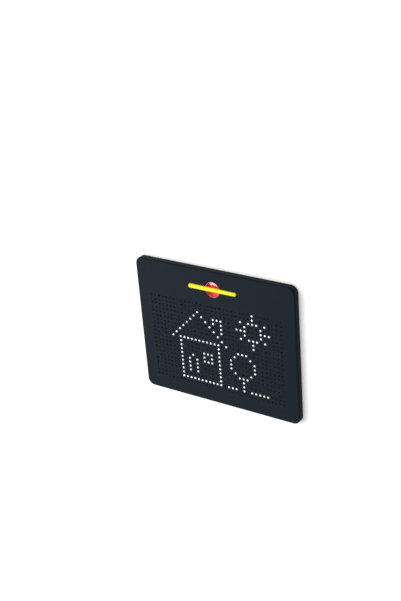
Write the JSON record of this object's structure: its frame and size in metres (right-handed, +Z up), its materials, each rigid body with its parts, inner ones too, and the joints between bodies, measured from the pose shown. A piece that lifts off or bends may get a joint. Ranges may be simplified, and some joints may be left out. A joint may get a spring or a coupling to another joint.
{
  "type": "magnetic drawing board",
  "caption": "Flat drawing board with a grid of holes over captive steel beads, and a magnet-tipped stylus in a groove across a round finger well.",
  "frame": {"origin": "on the ground under the middle of the board as it lies on its feet", "axes": "+X along the board's width to the stylus's tip end, +Y to the edge that the stylus lies along, +Z up out of the face"},
  "size_m": [0.314, 0.253, 0.0169],
  "materials": {
    "slate_plastic": "fine-textured dark slate ABS",
    "pale_plastic": "plain pale polystyrene sheet",
    "red_plastic": "polished red ABS",
    "yellow_plastic": "satin-gloss yellow ABS",
    "bead_steel": "polished steel balls",
    "zinc_steel": "zinc-plated steel",
    "magnet_nickel": "nickel-plated magnet",
    "foot_rubber": "moulded black rubber"
  },
  "bodies": {
    "board": {"front_shell": "slate_plastic", "back_cover": "slate_plastic", "bead_floor_plate": "pale_plastic", "finger_well": "red_plastic", "stylus_keeper_plate": "zinc_steel", "back_screw_01": "zinc_steel", "back_screw_02": "zinc_steel", "back_screw_03": "zinc_steel", "back_screw_04": "zinc_steel", "back_screw_05": "zinc_steel", "back_screw_06": "zinc_steel", "back_screw_07": "zinc_steel", "back_screw_08": "zinc_steel", "back_screw_09": "zinc_steel", "back_screw_10": "zinc_steel", "rubber_foot_01": "foot_rubber", "rubber_foot_02": "foot_rubber", "rubber_foot_03": "foot_rubber", "rubber_foot_04": "foot_rubber", "rubber_foot_05": "foot_rubber", "rubber_foot_06": "foot_rubber"},
    "stylus": {"stylus_barrel": "yellow_plastic", "stylus_tip_cap": "yellow_plastic", "stylus_tip_magnet": "magnet_nickel", "stylus_end_plug": "yellow_plastic"},
    "beads_roof": {"raised_beads_roof": "bead_steel"},
    "beads_eaves": {"raised_beads_eaves": "bead_steel"},
    "beads_walls": {"raised_beads_walls": "bead_steel"},
    "beads_door": {"raised_beads_door": "bead_steel"},
    "beads_window": {"raised_beads_window": "bead_steel"},
    "beads_chimney": {"raised_beads_chimney": "bead_steel"},
    "beads_sun": {"raised_beads_sun": "bead_steel"},
    "beads_tree_crown": {"raised_beads_tree_crown": "bead_steel"},
    "beads_tree_trunk": {"raised_beads_tree_trunk": "bead_steel"},
    "beads_ground": {"raised_beads_ground": "bead_steel"},
    "beads_ground_far": {"raised_beads_ground_far": "bead_steel"}
  },
  "joints": [
    {"name": "stylus_lift", "type": "slide", "parent": "board", "child": "stylus", "axis": [0, 0, 1], "range_m": [0, 0.06]},
    {"name": "beads_roof_press", "type": "slide", "parent": "board", "child": "beads_roof", "axis": [0, 0, 1], "range_m": [-0.0034, 0]},
    {"name": "beads_eaves_press", "type": "slide", "parent": "board", "child": "beads_eaves", "axis": [0, 0, 1], "range_m": [-0.0034, 0]},
    {"name": "beads_walls_press", "type": "slide", "parent": "board", "child": "beads_walls", "axis": [0, 0, 1], "range_m": [-0.0034, 0]},
    {"name": "beads_door_press", "type": "slide", "parent": "board", "child": "beads_door", "axis": [0, 0, 1], "range_m": [-0.0034, 0]},
    {"name": "beads_window_press", "type": "slide", "parent": "board", "child": "beads_window", "axis": [0, 0, 1], "range_m": [-0.0034, 0]},
    {"name": "beads_chimney_press", "type": "slide", "parent": "board", "child": "beads_chimney", "axis": [0, 0, 1], "range_m": [-0.0034, 0]},
    {"name": "beads_sun_press", "type": "slide", "parent": "board", "child": "beads_sun", "axis": [0, 0, 1], "range_m": [-0.0034, 0]},
    {"name": "beads_tree_crown_press", "type": "slide", "parent": "board", "child": "beads_tree_crown", "axis": [0, 0, 1], "range_m": [-0.0034, 0]},
    {"name": "beads_tree_trunk_press", "type": "slide", "parent": "board", "child": "beads_tree_trunk", "axis": [0, 0, 1], "range_m": [-0.0034, 0]},
    {"name": "beads_ground_press", "type": "slide", "parent": "board", "child": "beads_ground", "axis": [0, 0, 1], "range_m": [-0.0034, 0]},
    {"name": "beads_ground_far_press", "type": "slide", "parent": "board", "child": "beads_ground_far", "axis": [0, 0, 1], "range_m": [-0.0034, 0]}
  ]
}
